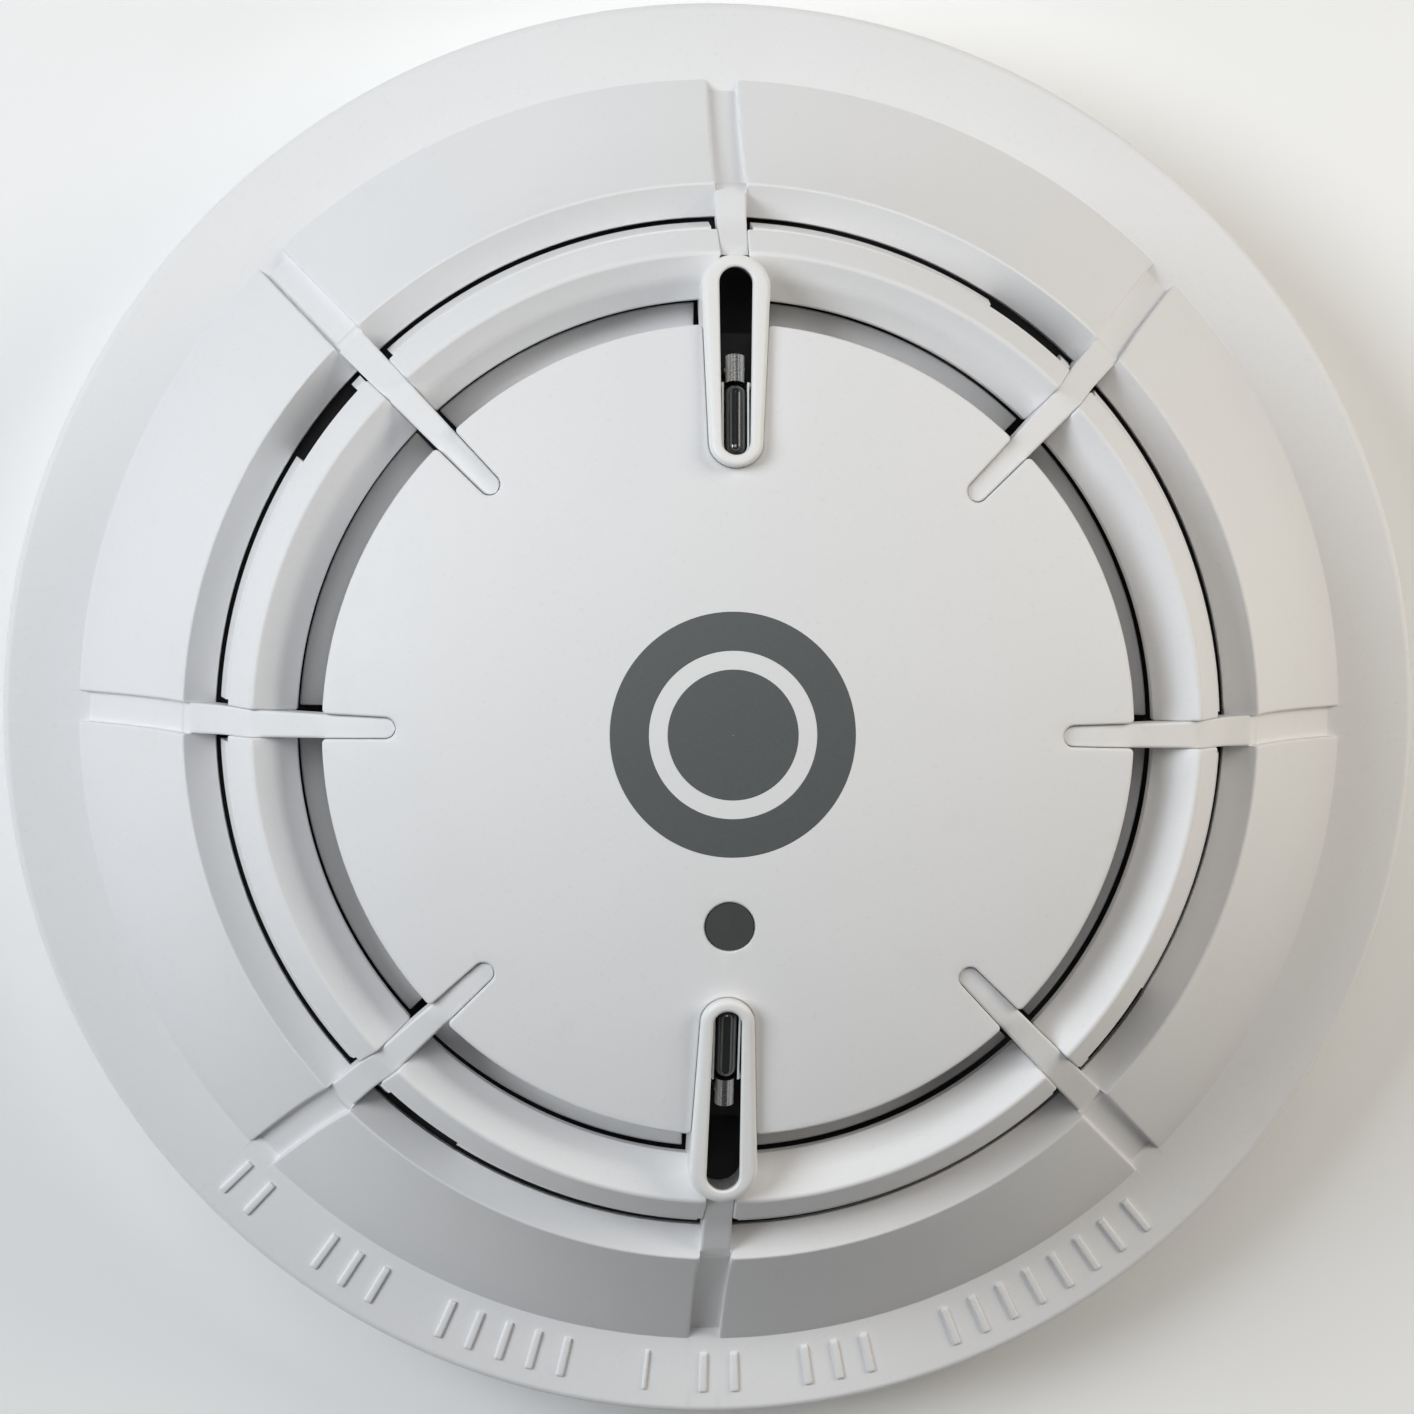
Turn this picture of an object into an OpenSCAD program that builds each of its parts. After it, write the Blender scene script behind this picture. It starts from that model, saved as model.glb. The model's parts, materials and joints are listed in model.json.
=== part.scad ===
// Heat detector head on a twist-lock mounting base, in millimetres.
// The origin is the centre of the base's back face. +Z points out of the mounting surface into
// the room and +Y points to twelve o'clock on the detector's face.

/* [Overall] */
// Outer radius of the detector's rim
rim_r = 50; // [46:0.5:56]
// Height of the visible seam between the base and the head
seam_h = 0.4; // [0.2:0.1:1]

/* [Mounting base] */
// Outer radius of the base
base_r = 49.6; // [46:0.1:52]
// Height of the base wall
base_h = 8.2; // [7:0.1:10]
// Thickness of the base wall
base_wall = 2.2; // [1.5:0.1:3]
// Thickness of the base floor
floor_t = 2.2; // [1.5:0.1:3]
// Radius of the cable entry in the base floor
cable_r = 10; // [6:0.5:14]
// Distance between the two fixing slots
fix_centres = 60; // [50:1:70]
// End-to-end length of a fixing slot
slot_len = 14; // [8:1:18]
// Width of a fixing slot
slot_w = 4.4; // [3.5:0.1:5.5]

/* [Twist lock] */
// Turn from locked to unlocked, in degrees
unlock_turn = 20; // [18:1:24]
// Half of the angle taken by a ledge on the base
ledge_half = 10; // [8:0.5:11]
// Half of the angle taken by a hook on the head
hook_half = 8; // [6:0.5:9]
// Lower height of the ledges
ledge_z = 5.6; // [5.4:0.1:6]
// Angle of the first hook and ledge
hook_angle = 22.5; // [15:0.5:30]

/* [Wiring terminals] */
// Distance of the terminal screws from the centre
terminal_r = 36; // [34:0.5:38]
// Angle of the first terminal
terminal_angle = 67.5; // [60:0.5:75]
// Radius of the terminal screw's thread
thread_r = 1.5; // [1.2:0.1:1.8]
// Radius of the terminal screw's head
head_r = 2.8; // [2.4:0.1:3.2]

/* [Cover] */
// Radius of the foot of the raised panels
foot_r = 44.4; // [43:0.1:45]
// Height of the foot of the raised panels
foot_z = 11.5; // [11:0.1:12]
// Radius of the top edge of the raised panels
brow_r = 36.0; // [35.5:0.1:36.5]
// Height of the top edge of the raised panels
brow_z = 26.7; // [26:0.1:27.5]
// Radius of the hollow curve of the raised panels
flare_r = 50; // [40:1:80]
// Height of the panels above the channels between them
panel_lift = 0.6; // [0.3:0.05:0.8]
// Thickness of the cover wall
shell_t = 1.8; // [1.5:0.1:2.2]
// Width of the ribs and of the channels that they run in
rib_w = 2.1; // [1.8:0.1:2.4]
// Width of a rib at its tip in the centre cap
rib_tip_w = 1.35; // [1.2:0.05:1.6]

/* [Centre cap] */
// Height of the middle of the domed cap
dome_top = 40; // [38:0.1:42]
// Radius of the sphere that the dome is part of
dome_r = 80.1; // [70:0.1:100]
// Radius of the dome's edge
cap_r = 26.47; // [26:0.05:27]
// Thickness of the cap
cap_t = 1.6; // [1.2:0.1:2]
// Radius of the printed badge
badge_r = 7.9; // [6:0.1:9]
// Radius of the open ring in the badge
badge_gap_r = 4.2; // [2:0.1:5]
// Width of the open ring in the badge
badge_gap_w = 1.2; // [0.5:0.1:2]
// Radius of the indicator window
lens_r = 1.55; // [1.2:0.05:1.8]
// Distance of the indicator window from the centre
lens_y = 12.4; // [11:0.1:13]

/* [Sensor guards] */
// Distance of the guard's middle from the centre
guard_mid_r = 24.05; // [23:0.05:25]
// Height of the guard's middle
guard_mid_z = 37.05; // [36.8:0.05:37.4]
// Downward tilt of the guards towards the rim, in degrees
guard_tilt = 17.9; // [15:0.1:20]
// Length of the guard
guard_len = 14.6; // [14:0.1:15]
// Width of the guard at its outer end
guard_wide = 4.5; // [4.2:0.1:4.8]
// Width of the guard at its inner end
guard_narrow = 3.5; // [3.2:0.1:3.8]
// Width of the guard's slot at its outer end
slot_wide = 2.18; // [2:0.02:2.4]
// Width of the guard's slot at its inner end
slot_narrow = 1.86; // [1.8:0.02:2]
// Radius of the sensing bead
bead_r = 0.66; // [0.5:0.02:0.7]

/* [Circuit board] */
// Radius of the circuit board
board_r = 38; // [36:0.5:39]
// Height of the board's underside
board_z = 13.6; // [13:0.1:14]
// Thickness of the board
board_t = 1.6; // [1:0.1:2]

/* [View] */
// Part to show: all of them, or one by its name

/* [Hidden] */
$fn = 96;
over = 0.1;
base_inner_r = base_r - base_wall;
quarter = [0, 90, 180, 270];
guard_angles = [90, 270];

// Twist lock
ledge_t = 1.4;
ledge_r = base_inner_r - 1.5;
hook_foot_z = 3.9;
lip_t = 1.4;
lip_r = base_inner_r - 0.4;
web_r = 43.6;
web_t = 1.7;
stop_r = 45.4;
stop_gap = 0.3;
stop_turn = 1.7;

// Head rear plate
plate_z = base_h;
plate_t = 1.4;
plate_top = plate_z + plate_t;
plate_r = 46.9;
spigot_r = base_inner_r - 0.06;
spigot_z = 7.3;

// Terminals
pad_top = 2.8;
strip_t = 0.5;
clamp_z = pad_top + strip_t + 0.05;
clamp_t = 1.0;
clamp_w = 6.9;
screw_head_z = clamp_z + clamp_t + 0.02;
screw_head_t = 1.78;
screw_tip_z = 0.9;
leaf_z = 4.6;
leaf_t = 0.4;
leaf_r = 28.4;
dimple_r = 0.8;
dimple_z = 4.55;
dimple_at = 29.5;
blade_z = 5.4;
blade_t = 0.5;

// Collar and bell
collar_bottom = base_h + seam_h;
collar_under = plate_top + 0.2;
collar_inner_r = plate_r + 0.3;
chord = [brow_r - foot_r, brow_z - foot_z];
chord_len = sqrt(chord[0] * chord[0] + chord[1] * chord[1]);
reach = sqrt(flare_r * flare_r - chord_len * chord_len / 4);
flare_x = (foot_r + brow_r) / 2 + chord[1] / chord_len * reach;
flare_y = (foot_z + brow_z) / 2 - chord[0] / chord_len * reach;
lip_in_r = 33.95;
lip_in_z = 25.2;

// Middle ring
ridge_r = 31.1;
ridge_z = 33.4;
ring_in_r = 28.2;
ring_in_z = 31.4;
ring_out_r = 32.95;
ring_out_z = 29.5;
skirt_r = 33.55;
skirt_z = 24.6;

// Hub under the cap
hub_r = 24.5;
hub_z = 32.8;
hub_t = 1.4;
peg_r = 1.5;
peg_at = 14;

// Cover screw posts
post_at = 35.5;
post_r = 2.4;
post_top = 21.5;
post_hole_r = 1.2;

// Cap skirt
cap_ledge_r = 28.1;
cap_ledge_z = 28.4;
cap_ledge_low = 27.7;
rib_gap = 0.08;
end_gap = 1.25;
skirt_end_gap = 1.4;
guard_gap = 2.55;
rib_root_r = 36.2;

// Sensors
guard_depth = 7;
guard_end_wall = 0.87;
guard_fit = 0.1;
bead_w = -1.5;
bead_from = -6.1;
bead_to = -1.2;
cradle_half = 0.88;
cradle_wall = 0.12;
sleeve_from = -0.95;
sleeve_to = 0.9;
sleeve_w = -1.9;
sleeve_r = 0.62;
wire_at = 23.5;
wire_r = 0.25;
wire_half = 0.4;
holder_top = 28.6;

// Board and what stands on it
board_top = board_z + board_t;
boss_at = 28.6;
boss_r = 2.2;
shield_r = 34.2;
shield_z = 22.4;
shield_t = 1;
shield_wall_r = 32.4;
switch_at = 13;
switch_r = 2.6;

white = [0.90, 0.90, 0.88];
soft_white = [0.86, 0.86, 0.84];
black = [0.05, 0.05, 0.05];
steel = [0.72, 0.72, 0.70];
dark_grey = [0.34, 0.36, 0.36];

// Height of the dome's surface at a distance from the centre
function dome_z(r) = dome_top - dome_r + sqrt(dome_r * dome_r - r * r);

// Height of the collar's sloping top at a distance from the centre
function collar_z(r) = foot_z - 0.1 * (r - foot_r);

// ---------- Shared shapes ----------

module disc(r, z0, z1) {
    translate([0, 0, z0])
        cylinder(r = r, h = z1 - z0);
}

module tube(r0, r1, z0, z1) {
    difference() {
        disc(r1, z0, z1);
        disc(r0, z0 - over, z1 + over);
    }
}

module arc_block(r0, r1, z0, z1, from, to) {
    rotate([0, 0, from])
        rotate_extrude(angle = to - from)
            translate([r0, z0])
                square([r1 - r0, z1 - z0]);
}

// A block along the X axis, from x0 to x1 and centred on it
module bar(x0, x1, width, z0, z1) {
    translate([x0, -width / 2, z0])
        cube([x1 - x0, width, z1 - z0]);
}

module turned(angle) {
    rotate([0, 0, angle])
        children();
}

// A flat strip with round ends of different widths, lying along X
module tapered_strip(x0, x1, r0, r1) {
    translate([x0, 0])
        circle(r = r0);
    translate([x1, 0])
        circle(r = r1);
    polygon([[x0, -r0], [x1, -r1], [x1, r1], [x0, r0]]);
}

// ---------- Mounting base ----------

module fixing_slot(x) {
    travel = (slot_len - slot_w) / 2;
    translate([x, 0, 0]) {
        for (side = [-1, 1])
            translate([side * travel, 0, -1])
                cylinder(d = slot_w, h = floor_t + 3);
        bar(-travel, travel, slot_w, -1, floor_t + 2);
    }
}

module mounting_base() {
    color(soft_white)
        difference() {
            union() {
                difference() {
                    union() {
                        disc(base_r - 0.5, 0, base_h);
                        disc(base_r, 0.5, base_h - 0.3);
                    }
                    disc(base_inner_r, floor_t, base_h + 1);
                }
                for (a = quarter) {
                    c = a + hook_angle;
                    arc_block(ledge_r, base_inner_r + over, ledge_z, ledge_z + ledge_t,
                        c - ledge_half, c + ledge_half);
                    // Stops at the locked and at the unlocked end of the turn
                    arc_block(stop_r, base_inner_r + over, floor_t - over, ledge_z + over,
                        c - hook_half - stop_gap - stop_turn, c - hook_half - stop_gap);
                    arc_block(stop_r, base_inner_r + over, floor_t - over, ledge_z - 0.2,
                        c + unlock_turn + hook_half + stop_gap,
                        c + unlock_turn + hook_half + stop_gap + stop_turn);
                }
                for (a = quarter)
                    turned(a + terminal_angle)
                        terminal_pad();
                tube(cable_r, cable_r + 1.4, floor_t - over, floor_t + 0.7);
                for (side = [-1, 1])
                    bar(side * fix_centres / 2 - slot_len / 2 - 1.5,
                        side * fix_centres / 2 + slot_len / 2 + 1.5,
                        slot_w + 3, floor_t - over, floor_t + 0.5);
                // Stiffening ribs across the floor
                for (a = [45, 135, 225, 315])
                    turned(a)
                        bar(14, base_inner_r - 4.5, 1.2, floor_t - over, floor_t + 0.8);
            }
            disc(cable_r, -1, floor_t + 2);
            fixing_slot(-fix_centres / 2);
            fixing_slot(fix_centres / 2);
            for (a = quarter)
                turned(a + terminal_angle)
                    translate([terminal_r, 0, screw_tip_z - 0.3])
                        cylinder(r = thread_r + 0.1, h = 4);
            lock_bore();
            // Knock-out outlines on the back
            for (a = [60, 240])
                turned(a)
                    translate([24, 0, -over])
                        tube(4, 4.5, 0, 0.7);
        }
}

module terminal_pad() {
    bar(31, 41, 9, floor_t - over, pad_top);
    for (side = [-1, 1])
        translate([0, side * 4.05, 0])
            bar(33, 39, 0.9, pad_top - over, pad_top + 1.6);
}

// ---------- Terminals ----------

module terminal_strip(k) {
    color(steel)
        turned(terminal_angle + 90 * k)
            difference() {
                union() {
                    bar(31.2, 40.6, 7, pad_top, pad_top + strip_t);
                    bar(31.2, 31.7, 4, pad_top, leaf_z + leaf_t);
                    bar(leaf_r, 31.7, 4, leaf_z, leaf_z + leaf_t);
                    translate([dimple_at, 0, dimple_z])
                        sphere(r = dimple_r);
                }
                translate([terminal_r, 0, pad_top - 1])
                    cylinder(r = thread_r + 0.05, h = 3);
                bar(leaf_r - 1, 31, 5, leaf_z - 2, leaf_z);
            }
}

module terminal_clamp(k) {
    color(steel)
        turned(terminal_angle + 90 * k)
            difference() {
                bar(terminal_r - 3.4, terminal_r + 3.4, clamp_w, clamp_z, clamp_z + clamp_t);
                translate([terminal_r, 0, clamp_z - 1])
                    cylinder(r = thread_r + 0.06, h = 4);
                // Grip grooves on the underside
                for (x = [-2.6, 2.6])
                    bar(terminal_r + x - 0.2, terminal_r + x + 0.2, clamp_w + 1,
                        clamp_z - 1, clamp_z + 0.25);
            }
}

module terminal_screw(k) {
    color([0.78, 0.76, 0.70])
        turned(terminal_angle + 90 * k)
            translate([terminal_r, 0, 0])
                difference() {
                    union() {
                        disc(thread_r, screw_tip_z, screw_head_z + over);
                        disc(head_r, screw_head_z, screw_head_z + screw_head_t - 0.3);
                        disc(head_r - 0.3, screw_head_z, screw_head_z + screw_head_t);
                    }
                    bar(-head_r - 1, head_r + 1, 0.8, screw_head_z + 0.8, screw_head_z + 4);
                    bar(-1.9, 1.9, 0.8, screw_head_z + 0.8, screw_head_z + 4);
                    turned(90)
                        bar(-1.7, 1.7, 0.8, screw_head_z + 0.8, screw_head_z + 4);
                }
}

// The small set screw that stops the head from being turned once it is driven in
module lock_bore() {
    turned(hook_angle + 100)
        translate([45, 0, 5.2])
            rotate([0, 90, 0])
                cylinder(r = 1.0, h = 8);
}

module locking_screw() {
    color(steel)
        turned(hook_angle + 100)
            translate([0, 0, 5.2])
                rotate([0, 90, 0])
                    difference() {
                        translate([0, 0, base_inner_r - 0.2])
                            cylinder(r = 0.95, h = base_wall - 0.2);
                        translate([0, 0, base_r - 1.2])
                            cylinder(r = 0.5, h = 3, $fn = 6);
                    }
}

// ---------- Head: rear housing and contacts ----------

module blade_slot(k) {
    arc_block(28, 31, plate_z - 2, plate_top + 1,
        terminal_angle + 90 * k - 24.4, terminal_angle + 90 * k - 18.6);
}

module rear_housing() {
    color(soft_white)
        difference() {
            union() {
                disc(plate_r, plate_z, plate_top);
                tube(46, spigot_r, spigot_z, plate_z + 0.3);
                tube(39.6, 41.2, plate_top - over, plate_top + 1.8);
                for (a = quarter) {
                    c = a + hook_angle;
                    arc_block(web_r, web_r + web_t, hook_foot_z, plate_z + over,
                        c - hook_half, c + hook_half);
                    arc_block(web_r + web_t - over, lip_r, hook_foot_z, hook_foot_z + lip_t,
                        c - hook_half, c + hook_half);
                    turned(a)
                        translate([boss_at, 0, 0])
                            disc(boss_r, plate_top - over, board_z);
                    // Ribs that stiffen the plate
                    turned(a + 45)
                        bar(6, 26, 1.2, plate_top - over, plate_top + 1.6);
                }
            }
            for (a = quarter) {
                turned(a)
                    translate([boss_at, 0, plate_top])
                        cylinder(r = 0.9, h = 6);
                turned(a + hook_angle)
                    translate([post_at, 0, plate_z - 1])
                        cylinder(r = 1.4, h = 4);
            }
            for (k = [0:3])
                blade_slot(k);
            for (side = [-1, 1])
                translate([side * switch_at, 0, plate_z - 1])
                    cylinder(r = 3.4, h = 4);
        }
}

module housing_screws() {
    color(steel)
        for (a = quarter)
            turned(a + hook_angle)
                translate([post_at, 0, 0])
                    difference() {
                        union() {
                            disc(1.15, plate_z - over, 17);
                            disc(2.3, plate_z - 1.1, plate_z);
                        }
                        bar(-1.4, 1.4, 0.55, plate_z - 2, plate_z - 0.5);
                        turned(90)
                            bar(-1.4, 1.4, 0.55, plate_z - 2, plate_z - 0.5);
                    }
}

module contact_blade(k) {
    c = terminal_angle + 90 * k;
    color([0.80, 0.66, 0.36]) {
        arc_block(28.2, 30.8, blade_z, blade_z + blade_t, c - 24, c + 4);
        arc_block(28.7, 30.3, blade_z + over, board_top + 0.5, c - 24, c - 23);
    }
}

// ---------- Head: circuit board ----------

module circuit_board() {
    color([0.08, 0.30, 0.17])
        difference() {
            disc(board_r, board_z, board_top);
            for (a = quarter) {
                turned(a + hook_angle)
                    translate([post_at + 0.8, 0, board_z - 1])
                        cylinder(r = 3.6, h = 4);
                turned(a)
                    translate([boss_at, 0, board_z - 1])
                        cylinder(r = 1.15, h = 4);
            }
            for (k = [0:3])
                arc_block(28.5, 30.5, board_z - 1, board_top + 1,
                    terminal_angle + 90 * k - 24.3, terminal_angle + 90 * k - 22.7);
            for (a = guard_angles)
                turned(a)
                    for (side = [-1, 1])
                        translate([wire_at, side * wire_half, board_z - 1])
                            cylinder(r = wire_r + 0.1, h = 4);
        }
}

module board_screws() {
    color(steel)
        for (a = quarter)
            turned(a)
                translate([boss_at, 0, 0])
                    difference() {
                        union() {
                            disc(0.85, board_z - 2.8, board_top + over);
                            disc(1.7, board_top, board_top + 1);
                        }
                        bar(-1.1, 1.1, 0.45, board_top + 0.5, board_top + 2);
                        turned(90)
                            bar(-1.1, 1.1, 0.45, board_top + 0.5, board_top + 2);
                    }
}

// A flat square package with rows of legs along its sides
module flat_package(size, h, legs, pitch) {
    translate([-size / 2, -size / 2, board_top + 0.15])
        cube([size, size, h]);
    for (a = quarter)
        turned(a)
            for (i = [0:legs - 1])
                translate([0, (i - (legs - 1) / 2) * pitch, 0])
                    bar(size / 2 - over, size / 2 + 0.9, pitch * 0.45, board_top,
                        board_top + 0.4);
}

module microcontroller() {
    color(black)
        translate([10, 9, 0])
            difference() {
                flat_package(8, 1.1, 9, 0.75);
                translate([-3, 3, board_top + 1.05])
                    cylinder(r = 0.45, h = 1);
            }
}

module capacitors() {
    color([0.16, 0.17, 0.22])
        for (p = [[-15, -7], [-15, 3], [14, -13]])
            translate([p[0], p[1], 0]) {
                disc(3, board_top, board_top + 1.1);
                disc(2.75, board_top + 1, board_top + 1.5);
                disc(3, board_top + 1.4, board_top + 6.2);
            }
}

module reed_switch() {
    color([0.55, 0.66, 0.60])
        translate([-11, 14, board_top + 1.4])
            rotate([0, 90, 20]) {
                translate([0, 0, -5])
                    cylinder(r = 1.1, h = 10);
                for (side = [-1, 1])
                    translate([0, 0, side * 5])
                        sphere(r = 1.1);
                translate([0, 0, -8])
                    cylinder(r = 0.3, h = 16);
                for (side = [-1, 1])
                    translate([-0.3, -0.3, side * 7.7 - 0.3])
                        cube([1.7, 0.6, 0.6]);
            }
}

module chip_components() {
    color([0.35, 0.31, 0.26])
        for (p = [[2, 3, 2.0, 1.2], [2, 6, 2.0, 1.2], [2, 9, 2.0, 1.2], [18, 1, 1.2, 2.0],
                [21, 1, 1.2, 2.0], [17, 18, 2.0, 1.2], [8, -4, 3.2, 1.6], [8, -8, 3.2, 1.6],
                [-6, -6, 1.2, 2.0], [-8.5, -6, 1.2, 2.0], [-7, 3, 2.0, 1.2], [-7, 6, 2.0, 1.2],
                [-20, 12, 2.0, 1.2], [22, -9, 3.6, 2.6], [-9, -17, 3.6, 2.6], [7, -19, 2.0, 1.2],
                [7, -22, 2.0, 1.2], [-22, -4, 1.2, 2.0]])
            translate([p[0] - p[2] / 2, p[1] - p[3] / 2, board_top])
                cube([p[2], p[3], p[2] * 0.45]);
}

module indicator_led() {
    color([0.85, 0.80, 0.78])
        translate([0, -lens_y, 0]) {
            bar(-1.8, 1.8, 3.6, board_top, board_top + 0.8);
            disc(1.3, board_top + 0.7, board_top + 1.3);
            translate([0, 0, board_top + 1.3])
                sphere(r = 1.3);
        }
}

module code_switch_body(side) {
    color([0.10, 0.22, 0.45])
        translate([side * switch_at, 0, 0])
            difference() {
                bar(-4.4, 4.4, 8.8, plate_top + 0.5, board_z);
                disc(switch_r + 0.06, plate_top, plate_top + 2.6);
            }
}

module code_switch_rotor(side) {
    color([0.92, 0.90, 0.84])
        translate([side * switch_at, 0, 0])
            difference() {
                disc(switch_r, plate_z + 0.4, plate_top + 2.5);
                bar(-2, 2, 0.7, plate_z - 1, plate_z + 1.2);
                translate([1.3, 0, plate_z - 1])
                    cylinder(r = 0.5, h = 2.2);
            }
}

// ---------- Head: light path ----------

module light_pipe() {
    color([0.80, 0.86, 0.88, 0.6])
        translate([0, -lens_y, 0])
            union() {
                disc(1.3, board_top + 3, dome_z(lens_y) - 1.5);
                disc(1.7, hub_z - 1, hub_z - 0.05);
            }
}

// The window stands square to the dome and ends flush with it
module indicator_lens() {
    color([0.20, 0.20, 0.20])
        turned(270)
            translate([0, 0, dome_top - dome_r])
                rotate([0, asin(lens_y / dome_r), 0])
                    intersection() {
                        disc(lens_r, dome_r - 1.2, dome_r + 1);
                        sphere(r = dome_r + 0.06, $fn = 360);
                    }
}

// ---------- Head: sensing elements ----------

module guard_frame(a) {
    turned(a)
        translate([guard_mid_r, 0, guard_mid_z])
            rotate([0, guard_tilt, 0])
                children();
}

module guard_outline(grow) {
    tapered_strip(-guard_len / 2 + guard_narrow / 2, guard_len / 2 - guard_wide / 2,
        guard_narrow / 2 + grow, guard_wide / 2 + grow);
}

module slot_outline() {
    tapered_strip(-guard_len / 2 + guard_end_wall + slot_narrow / 2,
        guard_len / 2 - guard_end_wall - slot_wide / 2, slot_narrow / 2, slot_wide / 2);
}

// The space a guard takes up, with the clearance that its seat needs
module guard_seat(a) {
    guard_frame(a)
        translate([0, 0, -guard_depth - 2])
            linear_extrude(guard_depth + 6)
                guard_outline(guard_fit);
}

module sensor_guard(a) {
    color([0.95, 0.95, 0.93])
        guard_frame(a)
            difference() {
                union() {
                    translate([0, 0, -guard_depth])
                        linear_extrude(guard_depth - 0.4)
                            guard_outline(0);
                    translate([0, 0, -guard_depth])
                        linear_extrude(guard_depth - 0.15)
                            guard_outline(-0.15);
                    translate([0, 0, -guard_depth])
                        linear_extrude(guard_depth)
                            guard_outline(-0.4);
                }
                translate([0, 0, -guard_depth - 1])
                    linear_extrude(guard_depth + 2)
                        slot_outline();
            }
}

module thermistor_bead(a) {
    color(black)
        guard_frame(a)
            translate([0, 0, bead_w]) {
                for (x = [bead_from + bead_r, bead_to - bead_r])
                    translate([x, 0, 0])
                        sphere(r = bead_r);
                translate([bead_from + bead_r, 0, 0])
                    rotate([0, 90, 0])
                        cylinder(r = bead_r, h = bead_to - bead_from - 2 * bead_r);
            }
}

// An open trough round the bead, with two short arms that reach towards the guard's walls
module bead_cradle(a) {
    tip = bead_from - cradle_wall - 0.04 + cradle_half;
    color([0.85, 0.86, 0.86, 0.7])
        guard_frame(a) {
            translate([0, 0, bead_w - bead_r - 0.5])
                linear_extrude(bead_r + 0.85)
                    difference() {
                        union() {
                            translate([tip, 0])
                                circle(r = cradle_half);
                            translate([tip, -cradle_half])
                                square([bead_to - tip + 0.1, 2 * cradle_half]);
                        }
                        translate([tip, 0])
                            circle(r = cradle_half - cradle_wall);
                        translate([tip, -cradle_half + cradle_wall])
                            square([bead_to - tip + 1, 2 * (cradle_half - cradle_wall)]);
                    }
            for (side = [-1, 1])
                translate([bead_to - 0.1, side * (cradle_half + 0.04) - 0.08, bead_w - 0.5])
                    cube([0.25, 0.16, 0.6]);
        }
}

// The metal sleeve at the bead's outer end, and the two leads that go down to the board
module thermistor_leads(a) {
    color([0.70, 0.70, 0.68]) {
        guard_frame(a)
            translate([sleeve_from, 0, sleeve_w])
                rotate([0, 90, 0])
                    cylinder(r = sleeve_r, h = sleeve_to - sleeve_from);
        turned(a)
            for (side = [-1, 1])
                translate([wire_at, side * wire_half, 0])
                    disc(wire_r, board_z - 0.8, 35.0);
    }
}

module thermistor_holder(a) {
    color(black)
        turned(a)
            difference() {
                union() {
                    bar(wire_at - 2.6, wire_at + 2.6, 3.2, board_top, holder_top);
                    bar(wire_at - 3.2, wire_at + 3.2, 4.4, board_top, board_top + 1);
                }
                for (side = [-1, 1])
                    translate([wire_at, side * wire_half, board_top - 1])
                        cylinder(r = wire_r + 0.05, h = holder_top);
                // Slot that vents the column
                translate([wire_at, 0, 0])
                    bar(-4, 4, 0.5, board_top + 2, shield_z - 2);
            }
}

module board_shield() {
    color(black)
        difference() {
            union() {
                disc(shield_r, shield_z, shield_z + shield_t);
                tube(shield_wall_r - 1, shield_wall_r, board_top, shield_z + over);
            }
            translate([0, -lens_y, shield_z - 1])
                cylinder(r = 1.6, h = 3);
            for (a = guard_angles)
                turned(a)
                    bar(wire_at - 2.8, wire_at + 2.8, 3.6, shield_z - 1, shield_z + 2);
        }
}

// ---------- Head: cover ----------

// Section of the bell, with its outer face set in from the raised panels
module bell_section(inset) {
    difference() {
        union() {
            intersection() {
                polygon([[33, collar_under], [foot_r + 1.3, collar_under],
                    [foot_r, foot_z], [brow_r, brow_z], [33, 25.74]]);
                translate([flare_x, flare_y])
                    circle(r = flare_r + shell_t, $fn = 360);
            }
            polygon([[brow_r, brow_z], [lip_in_r, lip_in_z], [lip_in_r, lip_in_z - 1],
                [lip_in_r + 1.6, lip_in_z - 2.7], [brow_r + 1.2, brow_z - 2.4]]);
        }
        translate([flare_x, flare_y])
            circle(r = flare_r + inset, $fn = 360);
    }
}

module collar_section() {
    polygon([[42.8, collar_under], [42.8, foot_z - 0.7], [foot_r, foot_z],
        [rim_r - 0.6, collar_z(rim_r - 0.6)], [rim_r, collar_z(rim_r - 0.6) - 0.6],
        [rim_r, collar_bottom], [collar_inner_r, collar_bottom],
        [collar_inner_r, collar_under]]);
}

module ring_section() {
    polygon([[ridge_r, ridge_z], [ring_out_r, ring_out_z], [skirt_r, skirt_z],
        [skirt_r - 1, skirt_z], [ring_out_r - 1.05, ring_out_z - 0.1],
        [ridge_r - 0.3, ridge_z - 2], [ring_in_r, ring_in_z - 1.3], [ring_in_r, ring_in_z]]);
}

// Side view of a rib, from the bell wall on the right to the tip on the left
module rib_side() {
    polygon([[36.0, 24.0], [35.43, 26.51], [33.5, 28.3], [ridge_r, ridge_z - 0.65], [28.2, 34.1],
        [cap_r, 34.95], [21, 36.7], [21, hub_z + 0.3], [24.2, hub_z + 0.3], [26.6, 31.2],
        [28.2, 30.3], [30.6, 28.6], [32.2, 24.6], [34.6, 23.9], [36.0, 22.9]]);
}

module rib_plan(grow) {
    tip = rib_tip_w / 2 + grow;
    translate([21.7 + rib_tip_w / 2, 0])
        circle(r = tip);
    polygon([[21.7 + rib_tip_w / 2, -tip], [rib_root_r, -rib_w / 2 - grow],
        [rib_root_r, rib_w / 2 + grow], [21.7 + rib_tip_w / 2, tip]]);
}

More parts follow.
